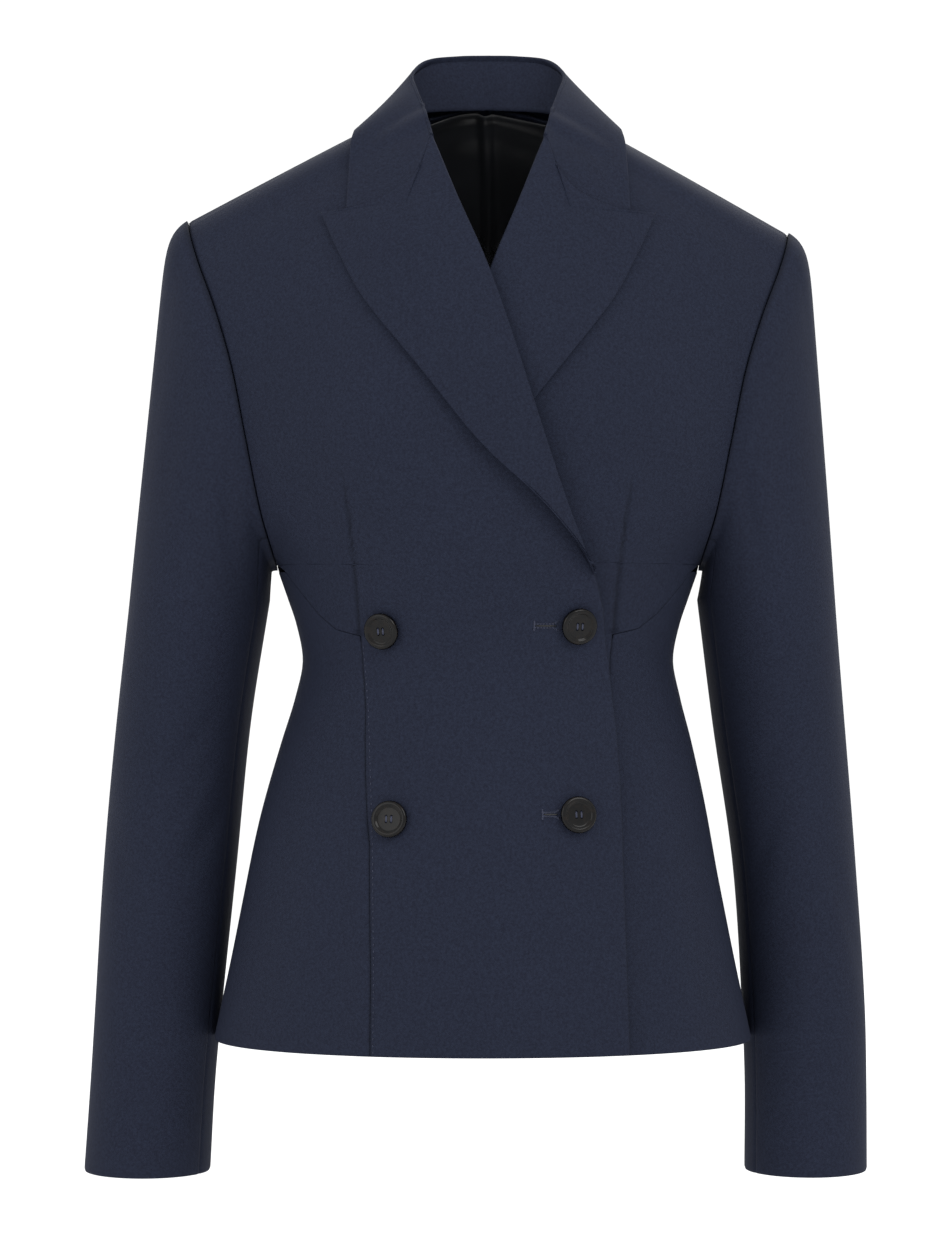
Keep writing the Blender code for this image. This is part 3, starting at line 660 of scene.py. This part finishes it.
class BLAZER_OT_fronts(bpy.types.Operator):
    """Builds both fronts and the side fronts below the bust seams"""

    bl_idname = "blazer.fronts"
    bl_label = "Fronts"

    def execute(self, context):
        strength = context.scene.blazer.crease_strength
        rows = front_rows()
        border = np.concatenate([FRONT_EDGE, ROLL_LINE[1:], NECK_LINE[1:]])
        cut = np.concatenate([FRONT_SEAM, BUST_SEAM])
        under_roll = 0.0016 / QUARTER_ROUND * ease((rows + 0.300) / 0.015)
        gap = SEWN / QUARTER_ROUND
        for side, sign, area in (("right", 1, 0.116), ("left", -1, 0.1135)):
            edge_h, edge_u = line_on_front(border, sign < 0)
            cut_h, cut_u = line_on_front(cut, sign < 0)
            inner = np.interp(rows, edge_h, edge_u) - sign * under_roll
            outer = np.where(rows < cut_h[-1] + 1e-4, np.interp(rows, cut_h, cut_u), -sign)
            outer = outer + sign * gap
            lift = lap_lift if side == "right" else None
            points, seam_shade_mask = body_panel("front", rows, inner, outer, MESH_COLUMNS, FRONT_CREASES,
                                      strength, lift, sign < 0, dart=True)
            made = shell(f"front_{side}_wool", points, look("wool"), CLOTH, seam=seam_shade_mask)
            cloth_piece(f"front_{side}", made)
            low = rows[rows < -0.2985]
            start = np.interp(low + SEWN, cut_h, cut_u) - sign * gap
            end = np.full(len(low), -sign * (1 - 2 * gap))
            points, seam_shade_mask = body_panel("front", low, start, end, 44, FRONT_CREASES, strength, lift)
            made = shell(f"side_front_{side}_wool", points, look("wool"), CLOTH, seam=seam_shade_mask)
            cloth_piece(f"side_front_{side}", made)
        return {"FINISHED"}


class BLAZER_OT_backs(bpy.types.Operator):
    """Builds the two back panels, joined down the centre back"""

    bl_idname = "blazer.backs"
    bl_label = "Backs"

    def execute(self, context):
        strength = context.scene.blazer.crease_strength
        rows = np.concatenate([HEM + np.array([0, 0.0004, 0.0010, 0.0018]),
                               np.linspace(HEM + 0.004, -0.02, 130),
                               np.linspace(-0.018, SHOULDER - 0.00005, 40)])
        nape_h = locate("back", 0.0, NAPE - 0.0004)[1]
        round_neck = np.clip((rows - nape_h) / (SHOULDER - nape_h), 0, 1)
        neck_x = NECK_HALF * np.sqrt(1 - (1 - round_neck) ** 2)
        neck_u = locate("back", neck_x, torso("back", neck_x / BODY[-1, 3], rows)[:, 2])[0]
        start = np.where(round_neck > 0, np.abs(neck_u), 0.0) + SEWN / QUARTER_ROUND
        for side, sign in (("right", -1), ("left", 1)):
            end = np.full(len(rows), sign * (1 - SEWN / QUARTER_ROUND))
            points, seam_shade_mask = body_panel("back", rows, sign * start, end, 80, BACK_CREASES, strength)
            made = shell(f"back_{side}_wool", points, look("wool"), CLOTH, flip=True, seam=seam_shade_mask)
            cloth_piece(f"back_{side}", made)
        return {"FINISHED"}


class BLAZER_OT_lining(bpy.types.Operator):
    """Builds the satin lining inside the back, with its pleat down the centre"""

    bl_idname = "blazer.lining"
    bl_label = "Back lining"

    def execute(self, context):
        u = np.linspace(-0.985, 0.985, 121)
        nape_h = float(locate("back", 0.0, NAPE - 0.0004)[1])
        across = np.clip(np.abs(u) * BODY[-1, 3] / NECK_HALF, 0, 1)
        top = nape_h + (1 - np.sqrt(1 - across**2)) * (SHOULDER - 0.001 - nape_h)
        bottom = HEM + 0.014
        share = np.linspace(0, 1, 130)[:, None]
        h = bottom + (top - bottom)[None, :] * share
        u = np.repeat(u[None, :], len(share), axis=0)
        at = torso("back", u, h)
        pleat = 0.0034 * np.exp(-((at[..., 0] + 0.001 + 0.002 * np.sin(at[..., 2] * 30)) / 0.0028) ** 2)
        waves = 0.0012 * np.sin(at[..., 0] * 95 + 1.2 * np.sin(at[..., 2] * 26)) * ease((0.9 - np.abs(u)) / 0.2)
        inside = -(CLOTH + 0.0012) - pleat - 0.0012 - waves
        made = shell("back_lining_satin", off_torso("back", u, h, inside), look("satin"), LINING, flip=True)
        cloth_piece("back_lining", made)
        return {"FINISHED"}


def turned_edge(points, normals, inward, drop, bulge, count=9):
    """Columns that carry a surface's first column round a fold: half an ellipse that goes out by
    bulge and down by drop. Returned in the order that leads up to that column."""
    angle = np.linspace(math.pi, 0, count, endpoint=False)[None, :, None]
    out = inward[:, None] * bulge[:, None, None] * np.sin(angle)
    down = normals[:, None] * drop[:, None, None] * (1 - np.cos(angle)) / 2
    return points[:, None] + out - down


class BLAZER_OT_lapels(bpy.types.Operator):
    """Builds the peak lapels: each turns over its roll line and lies back on its front"""

    bl_idname = "blazer.lapels"
    bl_label = "Lapels"

    def execute(self, context):
        steps = np.linspace(0, 1, 121)
        roll = smooth(steps, np.linspace(0, 1, len(ROLL_LINE)), ROLL_LINE)
        peak = 0.8
        edge = smooth(np.minimum(steps / peak, 1), np.linspace(0, 1, len(LAPEL_EDGE)), LAPEL_EDGE)
        top = np.stack([np.interp(steps, [peak, 0.88, 1.0], LAPEL_TOP[:, i]) for i in (0, 1)], axis=-1)
        edge = np.where(steps[:, None] > peak, top, edge)
        across = spread(46, 0.02)
        for side, sign, area in (("right", 1, 0.0155), ("left", -1, 0.0145)):
            keep = steps >= (LAPEL_FOOT if side == "right" else 0.43)
            s, r, e = steps[keep], roll[keep], edge[keep]
            grid = r[:, None] + (e - r)[:, None] * across[None, :, None]
            start = 0.0010 * (1 - across)[None, :, None] * unit(e - r)[:, None]
            grid = grid + start
            u, h = locate("front", sign * grid[..., 0], grid[..., 1])
            arch = ROLL_LIFT * (4 * across * (1 - across))[None, :] * ease((1 - s) / 0.4)[:, None]
            arch = arch if side == "right" else arch * np.linspace(0.0, 1.0, len(s))[:, None]
            foot = 0.12 + 0.88 * ease((s - LAPEL_FOOT) / 0.10)
            lift = arch + (REST + CLOTH) * foot[:, None]
            if side == "left":
                lift = lift + LEFT_LAPEL_AIR * (1 - ease((s - 0.55) / 0.25))[:, None]
            else:
                opened = np.exp(-(((s - 0.30) / 0.17) ** 2))[:, None] * across[None, :] ** 1.6
                lift = lift + lap_lift(u, h) + context.scene.blazer.lapel_open * opened
            width = np.linalg.norm(e - r, axis=-1)[:, None]
            lift = lift + rim((1 - across)[None, :] * width, 0.0007, 0.0012)
            points = off_torso("front", u, h, lift)
            normals = outward("front", u[:, 0], h[:, 0])
            back_way = unit(points[:, 0] - points[:, 8])
            drop = (REST + 2 * CLOTH) * foot
            fold = turned_edge(points[:, 0], normals, back_way, drop, np.full(len(s), 0.0013))
            points = np.concatenate([fold, points], axis=1)
            made = shell(f"lapel_{side}_wool", points, look("wool"), FOLD_CLOTH, flip=side == "right")
            cloth_piece(f"lapel_{side}", made)
        return {"FINISHED"}


def clear_of_body(points, side, extra):
    """Points that would lie in the front or the back are brought out to rest on it."""
    out = points.copy()
    for face, sense in (("front", -1), ("back", 1)):
        u, h = locate(face, points[..., 0], points[..., 2])
        lift = CLOTH + REST + np.broadcast_to(extra[:, None], u.shape)
        if face == "front" and side == "right":
            lift = lift + lap_lift(u, h)
        rest = off_torso(face, u, h, lift)
        reached = np.abs(torso(face, u, h)[..., 2] - points[..., 2]) < 0.001
        ahead = sense * (points[..., 1] - 0.005) > 0
        sunk = sense * (rest[..., 1] - points[..., 1]) > 0
        out[..., 1] = np.where(reached & ahead & sunk, rest[..., 1], out[..., 1])
    return out


class BLAZER_OT_collar(bpy.types.Operator):
    """Builds the collar: a stand round the neck, a rolled fold, and the fall over the shoulders"""

    bl_idname = "blazer.collar"
    bl_label = "Collar"

    def execute(self, context):
        turns = np.linspace(0, 1, len(COLLAR_ROLL))
        steps = np.linspace(0, 1, 78)
        across = spread(30, 0.02)
        fold_radius, fold_length = 0.0012, 0.0050
        stand_from = np.searchsorted(steps, 3 / 11)
        falls, stands = [], []
        for side, sign in (("right", 1), ("left", -1)):
            edge = []
            places = list(COLLAR_EDGE) + [("front", *GORGE)]
            rides = [0.0, 0.3, 0.8, 1.0, 1.0, 1.0, 1.0, 0.0]  # share of the ease, none at the gorge
            for (face, x, z), ride in zip(places, rides):
                u, h = locate(face, sign * x, z)
                lift = CLOTH + REST + COLLAR_EASE * ride
                if face == "front" and side == "right":
                    lift = lift + float(lap_lift(u, h))
                edge.append(off_torso(face, u, h, lift))
            edge, gorge = np.array(edge[:-1]), edge[-1]
            roll = smooth(steps, turns, COLLAR_ROLL * np.array([sign, 1, 1]))
            free = smooth(steps, turns, edge)
            fall = roll[:, None] + (free - roll)[:, None] * across[None, :, None]
            away = unit(np.cross(np.gradient(fall, axis=0), np.gradient(fall, axis=1)) * sign)
            fall = fall + away * (COLLAR_ARCH * 4 * across * (1 - across))[None, :, None]
            end = np.stack([np.interp(across, [0, GORGE_KNEE, 1], [roll[0, i], gorge[i], free[0, i]])
                            for i in range(3)], axis=-1)
            fade = np.clip(1 - steps / 0.25, 0, 1)[:, None, None] ** 1.5
            fall = clear_of_body(fall + (end - fall[0])[None] * fade, side, COLLAR_EASE * ease(steps / 0.35))
            width = np.linalg.norm(free - roll, axis=-1)[:, None]
            away = unit(np.cross(np.gradient(fall, axis=0), np.gradient(fall, axis=1)) * sign)
            fall = fall + away * rim((1 - across)[None, :] * width, 0.0007, 0.0012)[..., None]
            down = unit(fall[:, 6] - fall[:, 0])
            first = fall[:, 0] + down * fold_radius * 0.6
            fall[:, 0] = first
            size = np.full(len(steps), 2 * fold_radius)
            fold = turned_edge(first, away[:, 3], -down, size, size / 2)
            inner = first - away[:, 3] * 2 * fold_radius
            tail = inner[:, None] + down[:, None] * (fold_length * np.array([1.0, 0.6, 0.3]))[None, :, None]
            falls.append(np.concatenate([tail, fold, fall], axis=1))

            base = []
            for x, z in NECK_LINE:
                u, h = locate("front", sign * x, z)
                base.append(off_torso("front", u, h, float(lap_lift(u, h)) if side == "right" else 0.0))
            nape = torso("back", 0.0, locate("back", 0.0, NAPE)[1])
            shoulder = torso("back", locate("back", -sign * NECK_HALF, -0.01)[0], SHOULDER)
            for share in (0.35, 0.62, 0.85, 1.0):
                round_x = -sign * NECK_HALF * math.sqrt(1 - share**2)
                base.append(np.array([round_x, *(shoulder + (nape - shoulder) * share)[1:]]))
            base = smooth(steps, np.linspace(0, 1, len(base)), np.array(base)) * (0.94, 1, 1)
            base = base - (0, 0.0045, 0.0035)
            top = tail[:, 1] - away[:, 3] * 0.0001
            rise = np.linspace(0, 1, 14)[None, :, None]
            stands.append((base[:, None] + (top - base)[:, None] * rise)[stand_from:])
        both = np.concatenate([falls[0], falls[1][-2::-1]])
        made = shell("collar_fall_wool", both, look("wool"), FOLD_CLOTH, flip=True)
        cloth_piece("collar_fall", made)
        both = np.concatenate([stands[0], stands[1][-2::-1]])
        made = shell("collar_stand_wool", both, look("wool"), LINING)
        cloth_piece("collar_stand", made)
        return {"FINISHED"}


def armhole(sign, count=400):
    """The armhole's edge, from the shoulder down the front, under the arm and up the back."""
    h = np.linspace(SHOULDER, UNDERARM, count)
    ring = np.concatenate([torso("front", sign, h), torso("back", sign, h[::-1])[1:]])
    length = np.concatenate([[0], np.cumsum(np.linalg.norm(np.diff(ring, axis=0), axis=1))])
    return length / length[-1], ring


def sleeve(sign, table, degrees, reach):
    """Rings of a sleeve: reach 0 is the armhole seam, 1 the level of the underarm, 2 the cuff.
    Each ring is an oval below the underarm, and above it a blend from the armhole's edge with a
    swell that rises within a few millimetres of the seam."""
    angle = np.radians(degrees)
    share = (degrees % 360.0) / 360.0
    along, ring = armhole(sign)
    seam = np.stack([np.interp(share, along, ring[:, i]) for i in range(3)], axis=-1)
    seam = seam + (sign * SEWN, 0, 0)
    rows = []
    for part in reach:
        height = table[0, 0] + (table[-1, 0] - table[0, 0]) * max(part - 1, 0)
        centre, wide, depth, deep = smooth(height, table[:, 0][::-1], table[::-1, 1:])
        oval = np.stack([sign * (centre + wide * np.cos(angle)), depth - deep * np.sin(angle),
                         np.full(len(angle), height)], axis=-1)
        if part < 1:
            swell = CAP_ROLL * (0.72 + 0.28 * np.cos(angle))
            roll = np.stack([sign * swell, -0.35 * swell * np.sin(angle), 0.1 * swell], axis=-1)
            rows.append(seam + (oval - seam - roll) * part + roll * (1 - math.exp(-part / 0.035)))
        else:
            rows.append(oval)
    return np.array(rows)


class BLAZER_OT_sleeves(bpy.types.Operator):
    """Builds the two piece sleeves, with a rolled sleeve head and plain cuffs"""

    bl_idname = "blazer.sleeves"
    bl_label = "Sleeves"

    def execute(self, context):
        strength = context.scene.blazer.crease_strength
        reach = np.concatenate([np.array([0, 0.003, 0.007, 0.012, 0.018, 0.026, 0.036, 0.048, 0.062, 0.08]),
                                np.linspace(0.10, 1.0, 44), 1 + np.linspace(0, 1, 84)[1:-1],
                                [1.9955, 1.9980, 1.9992, 2.0]])
        first, last = UNDER_SLEEVE
        gap = 0.06
        spans = {"top_sleeve": (last - 360 + gap, first - gap, 100), "under_sleeve": (first + gap, last - gap, 40)}
        tables = (("right", -1, RIGHT_SLEEVE, RIGHT_SLEEVE_CREASES), ("left", 1, LEFT_SLEEVE, LEFT_SLEEVE_CREASES))
        for side, sign, table, folds in tables:
            for part, (start, end, columns) in spans.items():
                share = spread(columns)
                degrees = start + (end - start) * share
                points = sleeve(sign, table, degrees, reach)
                normals = unit(np.cross(np.gradient(points, axis=0), np.gradient(points, axis=1)))
                normals = normals * -sign
                metre = SLEEVE_ROUND / 360
                round_way = (degrees % 360) * metre
                edge = np.minimum(share, 1 - share)[None, :] * (end - start) * metre
                lift = creases(folds, round_way[None, :], points[..., 2], strength)
                lift = lift * ease((reach - 0.05) / 0.3)[:, None] * ease(edge / 0.012)
                lift = lift + rim(edge) + rim((2 - reach)[:, None] * 0.377, 0.0006, 0.0016)
                # Painted shade: the seam mask darkens the wool by each seam of the sleeve and round the armhole
                # seam.
                seam_shade_mask = 0.4 * (1 - ease(edge / 0.0011)) + 0.5 * (1 - ease(reach / 0.012))[:, None]
                made = shell(f"{part}_{side}_wool", points + normals * lift[..., None], look("wool"),
                             CLOTH, flip=sign > 0, seam=np.minimum(seam_shade_mask, 0.8))
                if part == "top_sleeve":
                    cloth_piece(f"{part}_{side}", made)
                else:
                    cloth_piece(f"{part}_{side}", made)
        return {"FINISHED"}


def frame_at(x, z, lift):
    """A place on the right front, with its sideways, upward and outward directions."""
    u, h = locate("front", x, z)
    spot = off_torso("front", u, h, lap_lift(u, h) + lift)
    normal = outward("front", u, h)
    side = unit(np.cross((0.0, 0.0, 1.0), normal))
    return spot, side, np.cross(normal, side), normal


class BLAZER_OT_stitches(bpy.types.Operator):
    """Sews the prick stitches beside the front seam and works the two buttonholes"""

    bl_idname = "blazer.stitches"
    bl_label = "Stitches"

    def execute(self, context):
        parts = []
        for z in np.arange(-0.6025, -0.3440, context.scene.blazer.stitch_gap):
            x = np.interp(z, FRONT_SEAM[:, 1], FRONT_SEAM[:, 0]) + 0.0021
            spot, side, up, normal = frame_at(x, z, 0.00012)
            parts.append(stitch(spot, up, normal, 0.0017, 0.00022))
        made = joined("prick_stitches", parts, look("thread"))

        parts, slits = [], []
        for start, end, z in BUTTONHOLES:
            length, eye = end - start, 0.0016
            spot, side, up, normal = frame_at((start + end) / 2, z, 0.00025)
            half = length / 2
            round_way = np.linspace(0, 1, 64, endpoint=False)
            straight = np.clip(np.abs(round_way * 2 - 1) * 2 - 0.5, 0, 1)
            sense = np.where(round_way < 0.5, 1.0, -1.0)
            x = (straight * 2 - 1) * half * sense
            bulb = eye * np.exp(-(((np.abs(x) - half) / 0.0022) ** 2)) * (x > 0)
            for along, sign_y, swell in zip(np.abs(x) * np.sign(x), sense, bulb):
                root = spot + side * along + up * sign_y * (0.0011 + swell)
                parts.append(stitch(root, up, normal, 0.0017, 0.00024))
            for step in np.linspace(-1, 1, 11):
                bar = spot - side * half + up * step * 0.0031
                parts.append(stitch(bar, side, normal, 0.0014, 0.00026))
            # Painted shade: a near black thread shape along each buttonhole stands for the shade in its cut.
            slits.append(stitch(spot, side, normal, length * 0.94, 0.00055))
        made = joined("buttonhole_stitches", parts, look("thread"))
        made = joined("buttonhole_slit_shade", slits, look("slit"))
        return {"FINISHED"}


def button_mesh(radius):
    """A turned disc: its profile is carried round as a grid, and four holes are cut through."""
    base, thick, dish = 0.0013, 0.0042, 0.0012
    profile = np.array([
        (0.0, base + thick - dish), (0.30, base + thick - dish), (0.60, base + thick - dish),
        (0.66, base + thick - dish * 0.92), (0.71, base + thick - dish * 0.55), (0.76, base + thick - 0.00012),
        (0.82, base + thick), (0.90, base + thick - 0.00008), (0.955, base + thick - 0.00045),
        (0.990, base + thick - 0.00110), (1.0, base + thick - 0.00180), (0.985, base + 0.0011),
        (0.93, base + 0.0004), (0.80, base), (0.20, base), (0.187, base), (0.187, SEAM), (0.0, SEAM)])
    turns = np.linspace(0, TAU, 72, endpoint=False)
    level = profile[1:-1]
    ring = np.stack([level[:, :1] * radius * np.cos(turns), level[:, :1] * radius * np.sin(turns),
                     np.repeat(level[:, 1:], 72, axis=1)], axis=-1).reshape(-1, 3)
    points = np.concatenate([ring, [(0, 0, profile[0, 1]), (0, 0, profile[-1, 1])]])
    index = np.arange(len(level) * 72).reshape(-1, 72)
    after = np.roll(index, -1, axis=1)
    quads = np.stack([index[1:], after[1:], after[:-1], index[:-1]], axis=-1).reshape(-1, 4).tolist()
    top, bottom = len(ring), len(ring) + 1
    caps = [(int(a), int(b), top) for a, b in zip(index[0], after[0])]
    caps += [(int(b), int(a), bottom) for a, b in zip(index[-1], after[-1])]
    mesh = bpy.data.meshes.new("button_turned")
    mesh.from_pydata(points.tolist(), [], quads + caps)
    disc = bpy.data.objects.new("button_turned", mesh)
    bpy.context.scene.collection.objects.link(disc)
    cutters = []
    for turn in range(4):
        angle = math.radians(45 + 90 * turn)
        bpy.ops.mesh.primitive_cylinder_add(
            vertices=20, radius=0.0010, depth=0.012,
            location=(0.0024 * math.cos(angle), 0.0024 * math.sin(angle), base + 0.0066))
        cutters.append(bpy.context.object)
        hole = disc.modifiers.new("hole", "BOOLEAN")
        hole.object = cutters[-1]
    graph = bpy.context.evaluated_depsgraph_get()
    cut = bpy.data.meshes.new_from_object(disc.evaluated_get(graph))
    for thing in [disc, *cutters]:
        bpy.data.objects.remove(thing)
    cut.materials.clear()
    cut.shade_smooth()
    cut.set_sharp_from_angle(angle=math.radians(38))
    return cut


class BLAZER_OT_buttons(bpy.types.Operator):
    """Makes the four turned buttons and sews each on with thread through its holes"""

    bl_idname = "blazer.buttons"
    bl_label = "Buttons"

    def execute(self, context):
        turned = button_mesh(context.scene.blazer.button_radius)
        threads = []
        for name, (x, z) in BUTTONS.items():
            spot, side, up, normal = frame_at(x, z, 0.0)
            matrix = np.eye(4)
            matrix[:3, 0], matrix[:3, 1], matrix[:3, 2], matrix[:3, 3] = side, up, normal, spot
            mesh = turned.copy()
            mesh.transform(Matrix(matrix.tolist()))
            made = place(f"{name}_turned", mesh, look("horn"))
            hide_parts(name)
            for across in (-1, 1):
                for strand in (-0.00028, 0.00028):
                    root = spot + side * (across * 0.0017 + strand) + normal * 0.00435
                    threads.append(stitch(root, up, normal, 0.0046, 0.00032))
        made = joined("button_threads", threads, look("thread"))
        return {"FINISHED"}


class BLAZER_OT_stage(bpy.types.Operator):
    """Sets the floor, the camera, the soft lights and the pale world"""

    bl_idname = "blazer.stage"
    bl_label = "Stage"

    def execute(self, context):
        scene = context.scene
        bpy.ops.mesh.primitive_plane_add(size=8.0, location=(0, 0, -0.80))
        floor = context.object
        floor.name = "floor"
        pale, tree = new_material("matt white studio paint")
        shader = add_node(tree, "ShaderNodeBsdfPrincipled", Roughness=0.9)
        shader.inputs["Base Color"].default_value = linear("FAFAFA")
        finish_material(tree, shader)
        floor.data.materials.append(pale)

        data = bpy.data.cameras.new("camera")
        data.lens, data.sensor_width = 114.3, 36.0
        camera = bpy.data.objects.new("camera", data)
        scene.collection.objects.link(camera)
        camera.location = (-0.01485, -2.6, -0.33)
        camera.rotation_euler = (math.pi / 2, 0, 0)
        scene.camera = camera

        lights = (  # name, place, aim, size, power
            ("key", (1.5, -2.2, 1.5), (0, 0, -0.25), 1.6, 34),
            ("fill", (-1.9, -1.9, 0.4), (0, 0, -0.3), 1.8, 15),
            ("back", (0.4, 2.2, 1.6), (0, 0, -0.2), 1.6, 22),
        )
        for name, spot, aim, size, power in lights:
            lamp = bpy.data.lights.new(name, "AREA")
            lamp.size, lamp.energy = size, power
            made = bpy.data.objects.new(name, lamp)
            scene.collection.objects.link(made)
            made.location = spot
            away = np.array(spot) - np.array(aim)
            flat = math.hypot(away[0], away[1])
            made.rotation_euler = (math.atan2(flat, away[2]), 0, math.atan2(away[0], -away[1]))
        world = bpy.data.worlds.new("pale studio")
        world.use_nodes = True
        shade = world.node_tree.nodes["Background"]
        shade.inputs["Color"].default_value = (1, 1, 1, 1)
        shade.inputs["Strength"].default_value = 1.06
        scene.world = world
        scene.view_settings.view_transform = "Standard"
        return {"FINISHED"}


class BLAZER_PT_panel(bpy.types.Panel):
    bl_label = "Blazer"
    bl_idname = "BLAZER_PT_panel"
    bl_space_type = "VIEW_3D"
    bl_region_type = "UI"
    bl_category = "Blazer"

    def draw(self, context):
        settings = context.scene.blazer
        for name in settings.__annotations__:
            self.layout.prop(settings, name)
        for operator in OPERATORS:
            self.layout.operator(operator.bl_idname)


OPERATORS = (
    BLAZER_OT_stage, BLAZER_OT_fronts, BLAZER_OT_backs, BLAZER_OT_lining, BLAZER_OT_lapels,
    BLAZER_OT_collar, BLAZER_OT_sleeves, BLAZER_OT_stitches, BLAZER_OT_buttons,
)
CLASSES = (BlazerSettings, *OPERATORS, BLAZER_PT_panel)


def register():
    for made in CLASSES:
        bpy.utils.register_class(made)
    bpy.types.Scene.blazer = bpy.props.PointerProperty(type=BlazerSettings)


def unregister():
    del bpy.types.Scene.blazer
    for made in reversed(CLASSES):
        bpy.utils.unregister_class(made)


def main():
    for thing in list(bpy.data.objects):
        if thing.name in ("Cube", "Light", "Camera"):
            bpy.data.objects.remove(thing)
    register()
    bpy.ops.blazer.stage()
    bpy.ops.blazer.fronts()
    bpy.ops.blazer.backs()
    bpy.ops.blazer.lining()
    bpy.ops.blazer.lapels()
    bpy.ops.blazer.collar()
    bpy.ops.blazer.sleeves()
    bpy.ops.blazer.stitches()
    bpy.ops.blazer.buttons()


if __name__ == "__main__":
    main()
